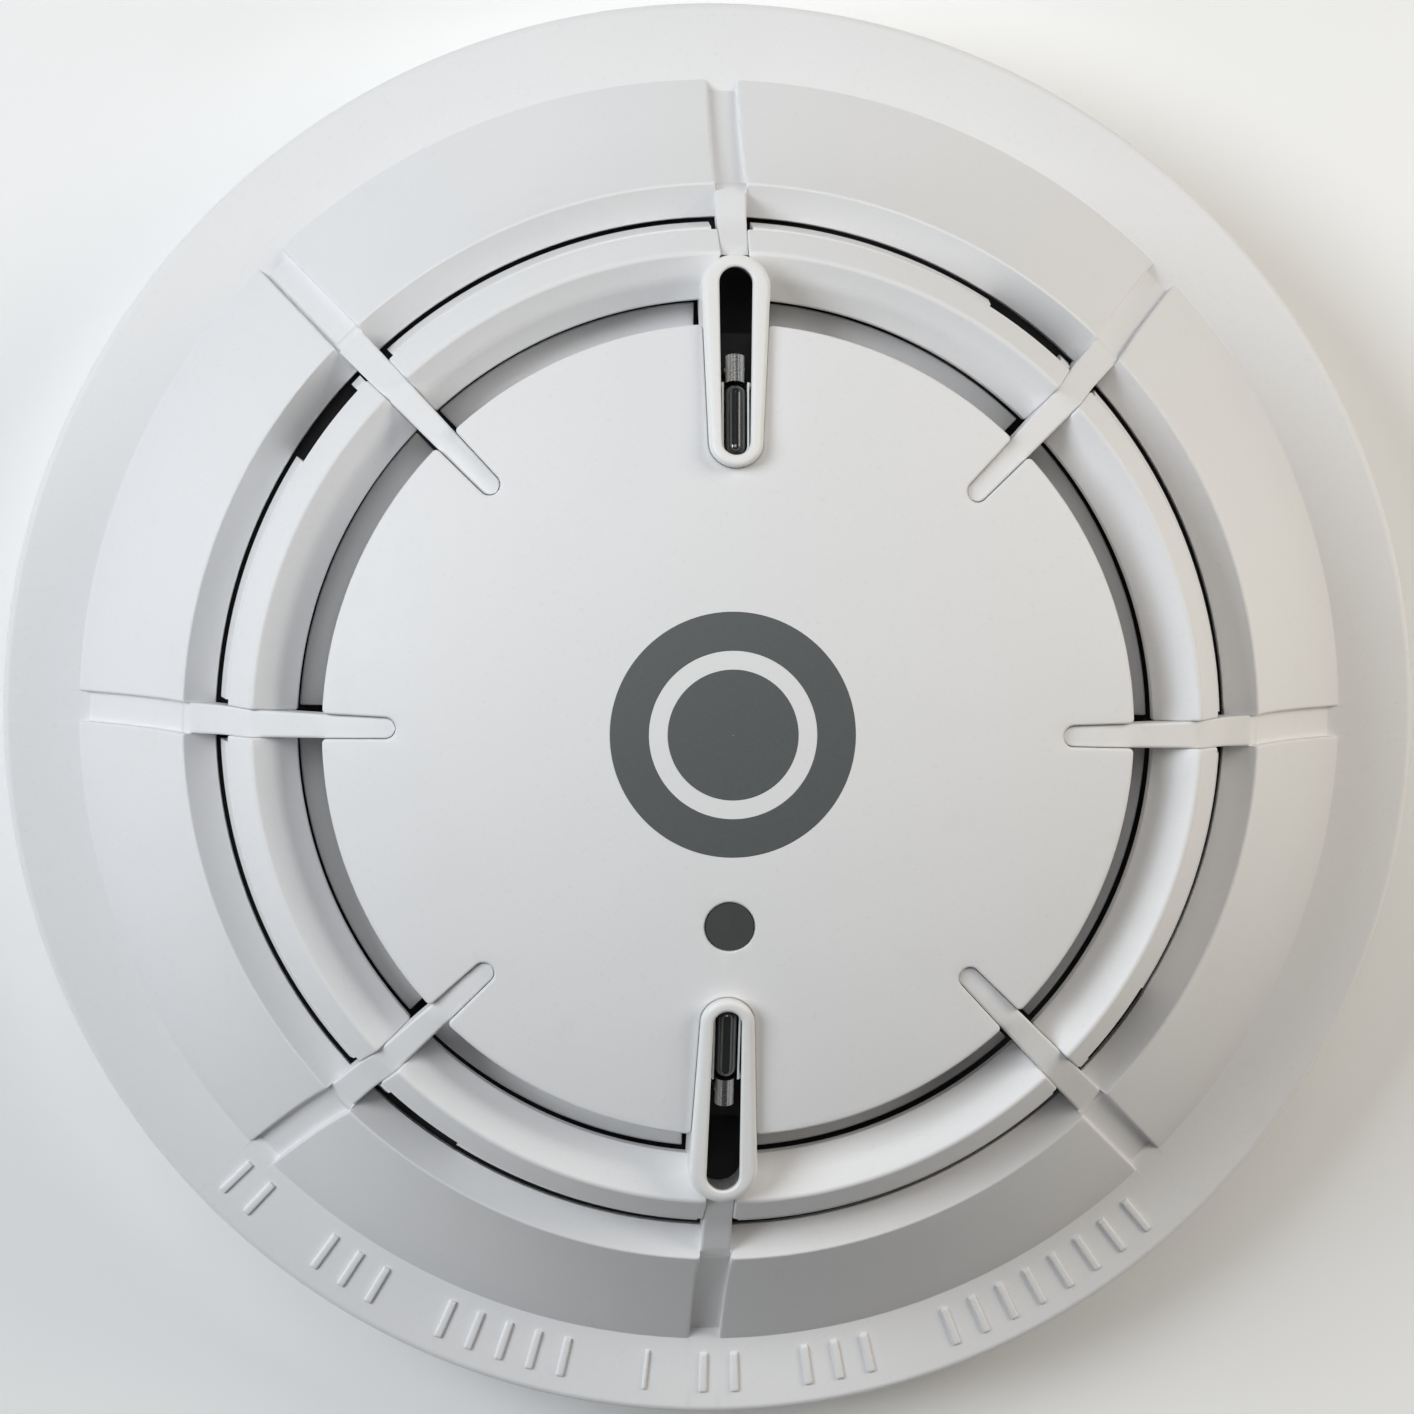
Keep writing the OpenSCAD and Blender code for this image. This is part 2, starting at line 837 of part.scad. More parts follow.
module rib(a) {
    turned(a)
        intersection() {
            translate([0, 0, 20])
                linear_extrude(20)
                    rib_plan(0);
            translate([0, 5, 0])
                rotate([90, 0, 0])
                    linear_extrude(10)
                        rib_side();
        }
}

// Raised marks on the collar: plain bars in groups
module collar_marks() {
    groups = [[225, 2], [235, 3], [247, 5], [270, 2], [279, 3], [292, 8]];
    intersection() {
        rotate_extrude()
            polygon([[45.6, collar_z(45.6) - 0.5], [48.5, collar_z(48.5) - 0.5],
                [48.5, collar_z(48.5) + 0.22], [45.6, collar_z(45.6) + 0.22]]);
        union() {
            for (g = groups)
                for (i = [0:g[1] - 1])
                    turned(g[0] + i * 2.7)
                        bar(44, 50, 0.55, foot_z - 3, foot_z + 2);
            turned(265)
                bar(44, 50, 0.3, foot_z - 3, foot_z + 2);
        }
    }
}

module outer_cover() {
    color(white)
        difference() {
            union() {
                rotate_extrude()
                    collar_section();
                rotate_extrude()
                    bell_section(panel_lift);
                difference() {
                    rotate_extrude()
                        bell_section(0);
                    for (i = [0:7])
                        turned(45 * i)
                            bar(30, foot_r + 0.6, rib_w, foot_z - 0.5, brow_z + 3);
                }
                difference() {
                    rotate_extrude()
                        ring_section();
                    // The ring gives way to the ribs, and its skirt stops short of them
                    for (i = [0:7])
                        turned(45 * i) {
                            bar(32.0, 36, 2 * skirt_end_gap, skirt_z - 1, ring_out_z - 0.15);
                            translate([0, 0, skirt_z - 1])
                                linear_extrude(ridge_z - skirt_z + 2)
                                    rib_plan(-0.05);
                        }
                    for (i = [0:3])
                        arc_block(32.0, 36, skirt_z - 1, ring_out_z - 0.9,
                            90 * i + 45 + 3.3, 90 * i + 45 + 13.6);
                }
                for (i = [0:7])
                    rib(45 * i);
                difference() {
                    disc(hub_r, hub_z, hub_z + hub_t);
                    translate([0, -lens_y, hub_z - 1])
                        cylinder(r = 1.36, h = 4);
                    for (a = quarter)
                        turned(a + 45)
                            translate([peg_at, 0, hub_z - 1])
                                cylinder(r = peg_r + 0.1, h = 4);
                }
                for (a = quarter)
                    turned(a + hook_angle)
                        translate([post_at, 0, 0])
                            disc(post_r, plate_top, post_top);
                collar_marks();
            }
            for (a = guard_angles)
                guard_seat(a);
            for (a = quarter)
                turned(a + hook_angle)
                    translate([post_at, 0, plate_top - 1])
                        cylinder(r = post_hole_r, h = 9);
            // Alignment mark on the rim
            turned(269)
                bar(rim_r - 0.35, rim_r + 1, 0.8, collar_bottom - 1, collar_bottom + 3);
        }
}

// ---------- Head: centre cap and badge ----------

module cap_section() {
    difference() {
        intersection() {
            polygon([[0, cap_ledge_low], [cap_ledge_r, cap_ledge_low], [cap_ledge_r, cap_ledge_z],
                [cap_r, cap_ledge_z + 0.3], [cap_r, dome_z(cap_r)], [cap_r - 4, dome_top + 3],
                [0, dome_top + 3]]);
            translate([0, dome_top - dome_r])
                circle(r = dome_r, $fn = 720);
        }
        intersection() {
            polygon([[-1, 20], [cap_r - 1.2, 20], [cap_r - 1.2, dome_z(cap_r) - 1.3],
                [cap_r - 4, dome_top + 3], [-1, dome_top + 3]]);
            translate([0, dome_top - dome_r])
                circle(r = dome_r - cap_t, $fn = 720);
        }
        translate([-10, 20])
            square([10, 30]);
    }
}

module centre_cap() {
    color(white)
        difference() {
            union() {
                rotate_extrude()
                    cap_section();
                for (a = quarter)
                    turned(a + 45)
                        translate([peg_at, 0, 0]) {
                            disc(peg_r, hub_z - 0.4, dome_z(peg_at) - 0.8);
                            disc(peg_r + 0.8, hub_z + hub_t + 0.05, dome_z(peg_at) - 0.8);
                        }
            }
            for (i = [0:7])
                turned(45 * i) {
                    translate([0, 0, 20])
                        linear_extrude(25)
                            rib_plan(rib_gap);
                    // The skirt stops short of the ribs
                    bar(24.4, 30, 2 * end_gap, cap_ledge_low - 1, dome_z(cap_r) - 0.9);
                }
            for (a = guard_angles)
                turned(a)
                    bar(24.4, 30, 2 * guard_gap, cap_ledge_low - 1, dome_z(cap_r) - 0.9);
            for (a = guard_angles)
                guard_seat(a);
            turned(270)
                translate([0, 0, dome_top - dome_r])
                    rotate([0, asin(lens_y / dome_r), 0])
                        disc(lens_r + 0.05, dome_r - 4, dome_r + 2);
            disc(badge_gap_r + 0.03, dome_z(badge_r) - 0.3, dome_top + 1);
            tube(badge_gap_r + badge_gap_w - 0.03, badge_r + 0.03, dome_z(badge_r) - 0.3,
                dome_top + 1);
        }
}

// Section of a thin disc that follows the dome, between two distances from the centre
module badge_section(from, to) {
    floor_z = dome_z(badge_r) - 0.3;
    intersection() {
        translate([from, floor_z])
            square([to - from, dome_top + 1 - floor_z]);
        translate([0, dome_top - dome_r])
            circle(r = dome_r + 0.03, $fn = 720);
    }
}

// The badge is a small disc in a wider ring, with the cap showing between them
module badge() {
    color(dark_grey) {
        rotate_extrude()
            badge_section(0, badge_gap_r);
        rotate_extrude()
            badge_section(badge_gap_r + badge_gap_w, badge_r);
    }
}

mounting_base();
terminal_strip(0);  // terminal_strip_1
terminal_strip(1);  // terminal_strip_2
terminal_strip(2);  // terminal_strip_3
terminal_strip(3);  // terminal_strip_4
terminal_clamp(0);  // terminal_clamp_1
terminal_clamp(1);  // terminal_clamp_2
terminal_clamp(2);  // terminal_clamp_3
terminal_clamp(3);  // terminal_clamp_4
terminal_screw(0);  // terminal_screw_1
terminal_screw(1);  // terminal_screw_2
terminal_screw(2);  // terminal_screw_3
terminal_screw(3);  // terminal_screw_4
locking_screw();
rear_housing();
housing_screws();
contact_blade(0);  // contact_blade_1
contact_blade(1);  // contact_blade_2
contact_blade(2);  // contact_blade_3
contact_blade(3);  // contact_blade_4
circuit_board();
board_screws();
microcontroller();
capacitors();
reed_switch();
chip_components();
indicator_led();
light_pipe();
indicator_lens();
code_switch_body(1);  // code_switch_body_1
code_switch_body(-1);  // code_switch_body_2
code_switch_rotor(1);  // code_switch_rotor_1
code_switch_rotor(-1);  // code_switch_rotor_2
board_shield();
thermistor_holder(guard_angles[0]);  // thermistor_holder_1
thermistor_holder(guard_angles[1]);  // thermistor_holder_2
thermistor_leads(guard_angles[0]);  // thermistor_leads_1
thermistor_leads(guard_angles[1]);  // thermistor_leads_2
thermistor_bead(guard_angles[0]);  // thermistor_bead_1
thermistor_bead(guard_angles[1]);  // thermistor_bead_2
bead_cradle(guard_angles[0]);  // bead_cradle_1
bead_cradle(guard_angles[1]);  // bead_cradle_2
sensor_guard(guard_angles[0]);  // sensor_guard_1
sensor_guard(guard_angles[1]);  // sensor_guard_2
outer_cover();
centre_cap();
badge();
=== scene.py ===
import json
import math

import bmesh
import bpy
from mathutils import Matrix, Vector
from mathutils.geometry import delaunay_2d_cdt


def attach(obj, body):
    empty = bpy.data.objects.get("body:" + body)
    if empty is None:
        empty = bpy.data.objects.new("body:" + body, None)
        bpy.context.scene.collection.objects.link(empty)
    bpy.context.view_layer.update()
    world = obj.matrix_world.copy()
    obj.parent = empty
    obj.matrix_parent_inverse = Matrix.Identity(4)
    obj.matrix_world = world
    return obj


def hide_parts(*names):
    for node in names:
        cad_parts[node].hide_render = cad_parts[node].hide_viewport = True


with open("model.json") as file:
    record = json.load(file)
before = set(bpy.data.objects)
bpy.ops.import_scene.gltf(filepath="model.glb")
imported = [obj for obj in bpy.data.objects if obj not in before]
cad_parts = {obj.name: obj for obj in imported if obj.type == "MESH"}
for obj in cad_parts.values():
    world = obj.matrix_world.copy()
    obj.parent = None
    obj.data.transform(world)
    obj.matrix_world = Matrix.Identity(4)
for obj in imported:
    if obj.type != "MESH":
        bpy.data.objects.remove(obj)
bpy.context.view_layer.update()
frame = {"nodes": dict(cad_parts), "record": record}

NODES = frame["nodes"]
MM = 0.001

# ---------------------------------------------------------------- sizes, in millimetres
# A pair is a radius and a height, unless its comment says otherwise.

# Collar, bell and the channels between its panels
RIM_R = 50.0
RIM_LOW = 8.6
FOOT = (44.55, 11.5)
BROW = (36.22, 26.7)
LIP = (34.07, 25.2)
FLARE_R = 50.0
PANEL_LIFT = 0.6
SHELL = 1.8
CHANNEL_HALF = 1.05

# Raised bars on the collar
MARK_R = 45.6
MARK_LENGTH = 2.9
MARK_HEIGHT = 0.24
MARK_EDGE = 0.14
MARK_STEP = 2.7

# Middle ring, and where its skirt is cut out beside every second rib
RIDGE = (31.27, 33.4)
RING_IN = (28.3, 31.4)
RING_OUT = (32.98, 29.5)
SKIRT_END = 1.4
CUT_FROM = math.radians(3.3)
CUT_TO = math.radians(13.6)

# Ribs
RIBS = 8
STEP = 2 * math.pi / RIBS
GUARD_RIBS = (2, 6)
TIP_R = 21.7
TIP_HALF = 0.675
ROOT_R = 36.2
RIB_START_R = 36.3
RIB_STATION = 0.35
RIB_EDGE = 0.2
RIB_STOP_AT_GUARD = 30.7

# Posts and hub inside the head
POST_AT = 35.5
POST_R = 2.4
POST_LOW = 9.7
POST_TOP = 21.5
HUB_R = 16.5
HUB_LOW = 32.8
HUB_TOP = 34.2

# Centre cap
DOME_TOP = 40.0
DOME_R = 80.1
CAP_R = 26.47
CAP_T = 1.5
CAP_LEDGE = (28.27, 28.4)
CAP_EDGE = 0.16
CAP_END = 1.06
GUARD_GAP = 2.45
FILL_STEP = 1.3
PEG_AT = 14.0
PEG_R = 1.5
PEG_LOW = 32.4
PEG_TOP = 38.0

# Sensor guards: the pairs are the inner and the outer end
GUARD_MID = (24.05, 37.05)
GUARD_TILT = math.radians(17.9)
GUARD_LEN = 14.6
GUARD_ENDS = (1.75, 2.25)
GUARD_DEEP = 7.0
SLOT_END = 0.87
SLOT_HALF = (0.93, 1.09)
SLOT_LIP = 0.7
GUARD_CLEAR = 0.03

# Badge and indicator window. The badge's open ring runs between two radii.
BADGE_R = 7.9
BADGE_GAP = (4.2, 5.4)
LENS_R = 1.55
LENS_AT = 12.4


def dome_z(r):
    return DOME_TOP - DOME_R + math.sqrt(DOME_R * DOME_R - r * r)


def collar_z(r):
    return FOOT[1] - 0.1 * (r - FOOT[0])


def lerp(a, b, t):
    return a + (b - a) * t


def along(points, x):
    """Height of a polyline at x. Its points run from high x to low x."""
    for (x0, y0), (x1, y1) in zip(points, points[1:]):
        if x >= x1:
            return lerp(y0, y1, (x - x0) / (x1 - x0))
    return points[-1][1]


# ---------------------------------------------------------------- mesh helpers

class Shape:
    """The points and faces of one mesh while it is being made, in millimetres."""

    def __init__(self):
        self.points = []
        self.faces = []

    def add(self, points, faces):
        start = len(self.points)
        self.points += points
        self.faces += [tuple(start + i for i in f) for f in faces]

    def grid(self, rows, close_rows=False, close_cols=False, cap_ends=False):
        """Faces between rows of points. cap_ends closes the first and last row with one face each."""
        n, m = len(rows), len(rows[0])
        faces = []
        for i in range(n if close_rows else n - 1):
            for j in range(m if close_cols else m - 1):
                a, b = i * m + j, i * m + (j + 1) % m
                c, d = ((i + 1) % n) * m + (j + 1) % m, ((i + 1) % n) * m + j
                faces.append((a, b, c, d))
        if cap_ends:
            faces.append(tuple(reversed(range(m))))
            faces.append(tuple(range((n - 1) * m, n * m)))
        self.add([p for row in rows for p in row], faces)

    def piece(self, name, material, replaced):
        """The finished object, which rides on the head and stands in for one CAD node."""
        mesh = bpy.data.meshes.new(name)
        mesh.from_pydata([(x * MM, y * MM, z * MM) for x, y, z in self.points], [], self.faces)
        mesh.validate()
        obj = bpy.data.objects.new(name, mesh)
        bpy.context.collection.objects.link(obj)
        outward(mesh)
        mesh.shade_smooth()
        mesh.set_sharp_from_angle(angle=math.radians(40))
        mesh.materials.append(material)
        even = obj.modifiers.new("even shading", "WEIGHTED_NORMAL")
        even.keep_sharp = True
        even.weight = 60
        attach(obj, "head")
        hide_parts(replaced)


def outward(mesh):
    """Turns all faces outwards."""
    bm = bmesh.new()
    bm.from_mesh(mesh)
    bmesh.ops.recalc_face_normals(bm, faces=bm.faces)
    bm.to_mesh(mesh)
    bm.free()


def rounded(corners, steps=4, closed=False):
    """A polyline whose corners (x, y, radius) are rounded. Each rounded corner gives steps + 1 points."""
    out = []
    n = len(corners)
    for i, (x, y, radius) in enumerate(corners):
        if radius <= 0 or (not closed and i in (0, n - 1)):
            out.append((x, y))
            continue
        p = Vector((x, y))
        a = Vector(corners[i - 1][:2]) - p
        b = Vector(corners[(i + 1) % n][:2]) - p
        la, lb = a.length, b.length
        a.normalize()
        b.normalize()
        half = a.angle(b) / 2
        cut = min(radius / math.tan(half), la * 0.49, lb * 0.49)
        r = cut * math.tan(half)
        mid = (a + b).normalized()
        centre = p + mid * (r / math.sin(half))
        start, end = p + a * cut - centre, p + b * cut - centre
        turn = start.angle_signed(end)
        for k in range(steps + 1):
            v = start.copy()
            v.rotate(Matrix.Rotation(-turn * k / steps, 2))
            q = centre + v
            out.append((q.x, q.y))
    return out


def spin(point, angle):
    r, z = point
    return (r * math.cos(angle), r * math.sin(angle), z)


def turned(x, y, angle):
    return x * math.cos(angle) - y * math.sin(angle), x * math.sin(angle) + y * math.cos(angle)


def value_at(amount, r):
    """A length or an angle that may be a function of the radius."""
    return amount(r) if callable(amount) else amount


def arc_solid(shape, section, start, end, steps):
    """A closed section swept round the Z axis. start and end are angles, or functions of the radius."""
    rows = []
    for i in range(steps + 1):
        t = i / steps
        rows.append([spin((r, z), lerp(value_at(start, r), value_at(end, r), t)) for r, z in section])
    shape.grid(rows, close_cols=True, cap_ends=True)


def soft_arc(shape, section, first, gap_a, last, gap_b, steps, soft):
    """A closed clockwise section swept between two ribs, with rounded ends.

    The gaps to the middles of the ribs are lengths, or functions of the radius.
    """
    def row(inset, forward, t):
        points = []
        for (r0, z0), (r, z) in zip(section, offset_loop(section, -inset) if inset else section):
            a = first * STEP + math.asin((value_at(gap_a, r0) + forward) / r0)
            b = last * STEP - math.asin((value_at(gap_b, r0) + forward) / r0)
            points.append(spin((r, z), lerp(a, b, t)))
        return points

    quarter = [math.pi / 8 * i for i in range(5)]
    rounds = [(soft * (1 - math.sin(a)), soft * (1 - math.cos(a))) for a in quarter]
    rows = [row(inset, forward, 0) for inset, forward in rounds]
    rows += [row(0, soft, i / steps) for i in range(1, steps)]
    rows += [row(inset, forward, 1) for inset, forward in reversed(rounds)]
    shape.grid(rows, close_cols=True, cap_ends=True)


def beside(rib, gap):
    """The angle that is a sideways gap away from the middle of a rib, for each radius."""
    return lambda r: rib * STEP + math.asin(gap / r)


# ---------------------------------------------------------------- cover

# Centre of the hollow curve that runs from the bell's foot to its brow
FLARE_CHORD = Vector(BROW) - Vector(FOOT)
FLARE_REACH = math.sqrt(FLARE_R ** 2 - FLARE_CHORD.length_squared / 4)
FLARE_SIDE = Vector((FLARE_CHORD.y, -FLARE_CHORD.x)).normalized()
FLARE_AT = (Vector(FOOT) + Vector(BROW)) / 2 + FLARE_SIDE * FLARE_REACH


def flare(radius, z):
    """The point at height z on the bell's hollow curve, or on one a wall thickness inside it."""
    return (FLARE_AT.x - math.sqrt(radius ** 2 - (FLARE_AT.y - z) ** 2), z)


def bell_profile(inset):
    """The bell's closed section, with the outer face set in. Every inset gives as many points."""
    radius = FLARE_R + inset
    foot_r = FOOT[0] if inset == 0 else flare(radius, FOOT[1] + 0.05)[0]
    foot = (foot_r, collar_z(foot_r) if inset == 0 else FOOT[1] + 0.05)
    brow = BROW if inset == 0 else (BROW[0] - 0.57, BROW[1] - 0.19)
    corners = [(RIM_R, RIM_LOW, 0.2), (RIM_R, collar_z(RIM_R), 0.55), (47.5, collar_z(47.5), 0),
               (45.2, collar_z(45.2), 0), (*foot, 0.12)]
    for i in range(1, 15):
        corners.append((*flare(radius, lerp(foot[1], brow[1], i / 15)), 0))
    corners += [(*brow, 0.16), (*LIP, 0.1), (LIP[0], LIP[1] - 1, 0), (LIP[0] + 1.6, LIP[1] - 2.7, 0)]
    for z in (21.0, 18.5, 16.0, 13.5):
        corners.append((*flare(FLARE_R + SHELL, z), 0))
    corners += [(42.9, 9.8, 0), (47.2, 9.8, 0), (47.2, RIM_LOW, 0)]
    return rounded(corners, closed=True)


def bell(shape):
    """Collar and bell. At each rib the outer face drops from the panel into the channel."""
    outer, floor = bell_profile(0), bell_profile(PANEL_LIFT)
    edge = CHANNEL_HALF
    # Sideways distance from the middle of a channel, and the share of the channel's depth there
    half = [(0.35, 1), (0.8, 1), (edge - 0.08, 1), (edge - 0.01, 0.93), (edge, 0.85), (edge + 0.01, 0.22),
            (edge + 0.03, 0.14), (edge + 0.07, 0.07), (edge + 0.13, 0.02), (edge + 0.2, 0), (edge + 0.6, 0)]
    offsets = [(-d, m) for d, m in reversed(half)] + [(0, 1)] + half
    widest = offsets[-1][0]
    between = 22
    rows = []
    for k in range(RIBS):
        for d, depth in offsets:
            row = []
            for (r0, z0), (r1, z1) in zip(outer, floor):
                r, z = lerp(r0, r1, depth), lerp(z0, z1, depth)
                row.append(spin((r, z), k * STEP + math.asin(d / r)))
            rows.append(row)
        for i in range(1, between):
            row = []
            for r, z in outer:
                a = math.asin(widest / r)
                row.append(spin((r, z), k * STEP + lerp(a, STEP - a, i / between)))
            rows.append(row)
    shape.grid(rows, close_rows=True, close_cols=True)


def rib_half(r):
    """Half of the width of a rib. It widens evenly from its tip to the bell."""
    inner = TIP_R + TIP_HALF
    return lerp(TIP_HALF, CHANNEL_HALF, min(1, (r - inner) / (ROOT_R - inner)))


def guard_side(r):
    """Half of the gap that the ring leaves for a guard: inside the guard's wall, then inside the rib."""
    return lerp(1.6, rib_half(r) + 0.01, min(1, max(0, (r - 29.6) / 1.0)))


def rib_side(r):
    """Half of the gap that the ring leaves for a rib."""
    return rib_half(r) + 0.01


def ring(shape):
    top = rounded([(*RING_IN, 0.2), (29.6, 32.62, 2.5), (*RIDGE, 0.32), (*RING_OUT, 0.08),
                   (32.5, 29.45, 0), (31.8, 29.45, 0), (30.8, 31.4, 0), (28.3, 30.2, 0)],
                  steps=6, closed=True)
    for k in range(RIBS):
        gaps = [guard_side if n % RIBS in GUARD_RIBS else rib_side for n in (k, k + 1)]
        soft_arc(shape, top, k, gaps[0], k + 1, gaps[1], 42, 0.16)
    skirt = rounded([(32.4, 29.2, 0), (33.12, 29.12, 0.12), (33.78, 24.6, 0.2), (32.8, 24.6, 0.2),
                     (31.8, 29.2, 0)], closed=True)
    for k in range(RIBS):
        stop = beside(k + 1, -SKIRT_END)
        if k % 2:
            arc_solid(shape, skirt, beside(k, 1.12), k * STEP + CUT_FROM, 2)
            arc_solid(shape, skirt, k * STEP + CUT_TO, stop, 32)
        else:
            arc_solid(shape, skirt, beside(k, SKIRT_END), stop, 42)


# Top edge of a rib, from the bell inwards
RIB_TOP = [(36.3, 25.25), (35.6, 26.50), (34.75, 27.3), (33.65, 28.35), (33.0, 29.35),
           (32.3, 30.85), (31.7, 32.1), (31.25, 32.72), (30.5, 33.15), (28.2, 34.1), (26.47, 34.95),
           (24.0, 35.88), (21.5, 36.66)]


def rib(shape, k, inner):
    """A rib from the bell wall in to a radius, or to its tip, where its plan ends in a half circle."""
    tip_centre = TIP_R + TIP_HALF
    stations = []
    r = RIB_START_R
    while r > max(inner, tip_centre) + 0.01:
        stations.append((r, rib_half(r)))
        r -= RIB_STATION
    if inner < TIP_R:
        for i in range(9):
            a = math.pi / 2 * i / 8
            stations.append((tip_centre - TIP_HALF * math.sin(a), max(0.02, TIP_HALF * math.cos(a))))
    rows = []
    for r, half in stations:
        top = along(RIB_TOP, r)
        soft = min(RIB_EDGE, half * 0.8)
        low = top - (3.2 if r > 33 else 2.6)
        side = rounded([(-half, low, 0), (-half, top, soft), (half, top, soft), (half, low, 0)])
        rows.append([(*turned(r, y, k * STEP), z) for y, z in side])
    shape.grid(rows, close_cols=True, cap_ends=True)


def bar_block(shape, place, length, width, height, soft):
    """A raised bar with rounded top edges. place turns along, across and up into a point."""
    section = rounded([(-width / 2, -0.3, 0), (-width / 2, height, soft), (width / 2, height, soft),
                       (width / 2, -0.3, 0)], steps=3)
    ends = ((0, 0.35), (0.04, 0.7), (0.12, 0.92), (0.25, 1))
    rows = []
    for x, scale in ends + tuple((length - x, scale) for x, scale in reversed(ends)):
        rows.append([place(x, y * (0.75 + 0.25 * scale), z * scale if z > 0 else z) for y, z in section])
    shape.grid(rows, close_cols=True, cap_ends=True)


# Angle of the first bar and the number of bars in each group
MARK_GROUPS = [(225, 2), (235, 3), (247, 5), (270, 2), (279, 3), (292, 8)]


def collar_marks(shape):
    """Plain raised bars in groups round the lower part of the collar."""
    bars = [(start + MARK_STEP * i, 0.55) for start, count in MARK_GROUPS for i in range(count)]
    bars.append((265, 0.3))
    for degrees, width in bars:
        angle = math.radians(degrees)

        def place(x, y, z):
            r = MARK_R + x
            return (*turned(r, y, angle), collar_z(r) + z)

        bar_block(shape, place, MARK_LENGTH, width, MARK_HEIGHT, MARK_EDGE)


def disc_solid(shape, radius, low, high, at=(0, 0), sides=48):
    loop = [(at[0] + radius * math.cos(2 * math.pi * i / sides),
             at[1] + radius * math.sin(2 * math.pi * i / sides)) for i in range(sides)]
    shape.grid([[(x, y, z) for x, y in loop] for z in (low, high)], close_cols=True, cap_ends=True)


def cover(material):
    shape = Shape()
    bell(shape)
    ring(shape)
    for k in range(RIBS):
        rib(shape, k, RIB_STOP_AT_GUARD if k in GUARD_RIBS else 0)
    collar_marks(shape)
    for k in range(4):
        angle = math.radians(22.5 + 90 * k)
        disc_solid(shape, POST_R, POST_LOW, POST_TOP, turned(POST_AT, 0, angle), 32)
    disc_solid(shape, HUB_R, HUB_LOW, HUB_TOP)
    shape.piece("cover", material, "outer_cover")


# ---------------------------------------------------------------- flat plates with rounded edges

def offset_loop(loop, distance):
    """A closed loop moved to its left by distance, with mitred corners."""
    out = []
    n = len(loop)
    for i in range(n):
        a, p, b = Vector(loop[i - 1]), Vector(loop[i]), Vector(loop[(i + 1) % n])
        e0, e1 = (p - a).normalized(), (b - p).normalized()
        n0, n1 = Vector((-e0.y, e0.x)), Vector((-e1.y, e1.x))
        mid = (n0 + n1).normalized()
        q = p + mid * (distance / max(0.35, mid.dot(n0)))
        out.append((q.x, q.y))
    return out


def inside(loop, x, y):
    odd = False
    for (x0, y0), (x1, y1) in zip(loop, loop[1:] + loop[:1]):
        if (y0 > y) != (y1 > y) and x < (x1 - x0) * (y - y0) / (y1 - y0) + x0:
            odd = not odd
    return odd


def near(loop, x, y):
    best = 1e9
    for (x0, y0), (x1, y1) in zip(loop, loop[1:] + loop[:1]):
        dx, dy = x1 - x0, y1 - y0
        t = max(0, min(1, ((x - x0) * dx + (y - y0) * dy) / max(1e-12, dx * dx + dy * dy)))
        best = min(best, (x - x0 - t * dx) ** 2 + (y - y0 - t * dy) ** 2)
    return math.sqrt(best)


def plate(shape, outline, holes, height, thickness, soft, fill):
    """A plate that follows height(x, y), with rounded upper edges.

    outline runs anticlockwise and holes clockwise. fill holds points that the top may use inside.
    """
    loops = [outline] + holes
    steps = [0, 0.04, 0.16, 0.36, 0.65, 1]
    flat, edges, rings = [], [], []
    for loop in loops:
        for share in steps:
            ring_points = offset_loop(loop, soft * share)
            start = len(flat)
            drop = soft - math.sqrt(max(0, soft ** 2 - (soft - soft * share) ** 2))
            flat += [(x, y, drop) for x, y in ring_points]
            n = len(ring_points)
            edges += [(start + i, start + (i + 1) % n) for i in range(n)]
            rings.append((start, n))
    for x, y in fill:
        if inside(outline, x, y) and not any(inside(h, x, y) for h in holes):
            if min(near(loop, x, y) for loop in loops) > soft * 1.8:
                flat.append((x, y, 0))
    result = delaunay_2d_cdt([Vector((x, y)) for x, y, _ in flat], edges, [], 0, 1e-7)
    corners, tris, origin = result[0], result[2], result[3]
    drops = [flat[o[0]][2] if o else 0 for o in origin]
    index = {o: i for i, os in enumerate(origin) for o in os}
    top = [(p.x, p.y, height(p.x, p.y) - d) for p, d in zip(corners, drops)]
    under = [(p.x, p.y, height(p.x, p.y) - thickness) for p in corners]
    count = len(corners)
    keep = []
    for tri in tris:
        cx = sum(corners[i].x for i in tri) / 3
        cy = sum(corners[i].y for i in tri) / 3
        if inside(outline, cx, cy) and not any(inside(h, cx, cy) for h in holes):
            keep.append(tuple(tri))
    faces = keep + [tuple(count + i for i in reversed(tri)) for tri in keep]
    for n_loop in range(len(loops)):
        start, n = rings[n_loop * len(steps)]
        for i in range(n):
            a, b = index[start + i], index[start + (i + 1) % n]
            if a != b:
                faces.append((a, count + a, count + b, b))
    shape.add(top + under, faces)


# ---------------------------------------------------------------- centre cap

